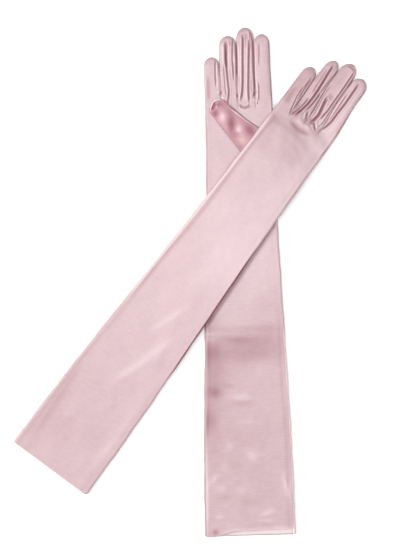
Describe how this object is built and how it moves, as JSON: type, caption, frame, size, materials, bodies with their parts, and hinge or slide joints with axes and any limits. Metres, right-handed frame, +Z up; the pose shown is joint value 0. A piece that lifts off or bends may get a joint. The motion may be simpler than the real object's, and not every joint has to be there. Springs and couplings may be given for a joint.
{
  "type": "pair of opera gloves",
  "caption": "Long stretch-satin evening gloves laid flat, one palm up and the other back up across it, with hemmed arm openings, sewn side seams and folding fingers and thumbs.",
  "frame": {"origin": "centre of the pair's bounding box, on the surface both gloves lie on", "axes": "+Y towards the right glove's fingertips, +X towards its thumb side, +Z up off the surface"},
  "size_m": [0.3914, 0.5584, 0.0142],
  "materials": {
    "satin_shell": "satin",
    "satin_strip": "satin",
    "satin_thumb": "satin",
    "seam": "satin, rolled seam",
    "hem": "satin, turned hem"
  },
  "bodies": {
    "right_glove": {"right_palm_panel": "satin_shell", "right_back_panel": "satin_shell", "right_outer_side_seam": "seam", "right_inner_side_seam": "seam", "right_hem_lower": "hem", "right_hem_upper": "hem", "right_gusset_lower": "satin_thumb", "right_gusset_upper": "satin_thumb"},
    "right_thumb": {"right_thumb_lower": "satin_thumb", "right_thumb_upper": "satin_thumb", "right_thumb_seam": "seam", "right_thumb_fold": "satin_thumb"},
    "right_little": {"right_little_front": "satin_shell", "right_little_back": "satin_shell", "right_little_side_seam": "satin_strip", "right_little_fourchette_to_ring": "satin_strip"},
    "right_ring": {"right_ring_front": "satin_shell", "right_ring_back": "satin_shell", "right_ring_fourchette_to_little": "satin_strip", "right_ring_fourchette_to_middle": "satin_strip"},
    "right_middle": {"right_middle_front": "satin_shell", "right_middle_back": "satin_shell", "right_middle_fourchette_to_ring": "satin_strip", "right_middle_fourchette_to_index": "satin_strip"},
    "right_index": {"right_index_front": "satin_shell", "right_index_back": "satin_shell", "right_index_fourchette_to_middle": "satin_strip", "right_index_side_seam": "satin_strip"},
    "left_glove": {"left_palm_panel": "satin_shell", "left_back_panel": "satin_shell", "left_outer_side_seam": "seam", "left_inner_side_seam": "seam", "left_hem_lower": "hem", "left_hem_upper": "hem", "left_gusset_lower": "satin_thumb", "left_gusset_upper": "satin_thumb"},
    "left_thumb": {"left_thumb_lower": "satin_thumb", "left_thumb_upper": "satin_thumb", "left_thumb_seam": "seam", "left_thumb_fold": "satin_thumb"},
    "left_little": {"left_little_front": "satin_shell", "left_little_back": "satin_shell", "left_little_side_seam": "satin_strip", "left_little_fourchette_to_ring": "satin_strip"},
    "left_ring": {"left_ring_front": "satin_shell", "left_ring_back": "satin_shell", "left_ring_fourchette_to_little": "satin_strip", "left_ring_fourchette_to_middle": "satin_strip"},
    "left_middle": {"left_middle_front": "satin_shell", "left_middle_back": "satin_shell", "left_middle_fourchette_to_ring": "satin_strip", "left_middle_fourchette_to_index": "satin_strip"},
    "left_index": {"left_index_front": "satin_shell", "left_index_back": "satin_shell", "left_index_fourchette_to_middle": "satin_strip", "left_index_side_seam": "satin_strip"}
  },
  "joints": [
    {"name": "left_glove_lift", "type": "slide", "parent": "right_glove", "child": "left_glove", "axis": [0, 0, 1], "range_m": [0, 0.25]},
    {"name": "right_little_fold", "type": "hinge", "parent": "right_glove", "child": "right_little", "pos_m": [0.02318, 0.20022, 0.0048], "axis": [0.9996, 0.0274, 0], "range_deg": [0, 90]},
    {"name": "right_ring_fold", "type": "hinge", "parent": "right_glove", "child": "right_ring", "pos_m": [0.04117, 0.20071, 0.0048], "axis": [0.9996, 0.0274, 0], "range_deg": [0, 90]},
    {"name": "right_middle_fold", "type": "hinge", "parent": "right_glove", "child": "right_middle", "pos_m": [0.06022, 0.19923, 0.0048], "axis": [0.9996, 0.0274, 0], "range_deg": [0, 90]},
    {"name": "right_index_fold", "type": "hinge", "parent": "right_glove", "child": "right_index", "pos_m": [0.07901, 0.19975, 0.0048], "axis": [0.9996, 0.0274, 0], "range_deg": [0, 90]},
    {"name": "left_little_fold", "type": "hinge", "parent": "left_glove", "child": "left_little", "pos_m": [0.10671, 0.19797, 0.00943], "axis": [0.8141, -0.5807, 0], "range_deg": [0, 90]},
    {"name": "left_ring_fold", "type": "hinge", "parent": "left_glove", "child": "left_ring", "pos_m": [0.12118, 0.18726, 0.00776], "axis": [0.8141, -0.5807, 0], "range_deg": [0, 90]},
    {"name": "left_middle_fold", "type": "hinge", "parent": "left_glove", "child": "left_middle", "pos_m": [0.13526, 0.17435, 0.00584], "axis": [0.8141, -0.5807, 0], "range_deg": [0, 90]},
    {"name": "left_index_fold", "type": "hinge", "parent": "left_glove", "child": "left_index", "pos_m": [0.15037, 0.16317, 0.0048], "axis": [0.81, -0.5864, 0], "range_deg": [0, 90]},
    {"name": "right_thumb_lift", "type": "hinge", "parent": "right_glove", "child": "right_thumb", "pos_m": [0.06152, 0.15925, 0.0085], "axis": [0.7124, 0.7018, 0], "range_deg": [0, 85]},
    {"name": "left_thumb_drop", "type": "hinge", "parent": "left_glove", "child": "left_thumb", "pos_m": [0.11017, 0.13843, 0], "axis": [-0.9724, -0.2334, 0], "range_deg": [0, 60]}
  ],
  "couplings": [
    {"joint": "left_thumb_drop", "follows": "left_glove_lift", "rad_per_m": 4.1888}
  ]
}
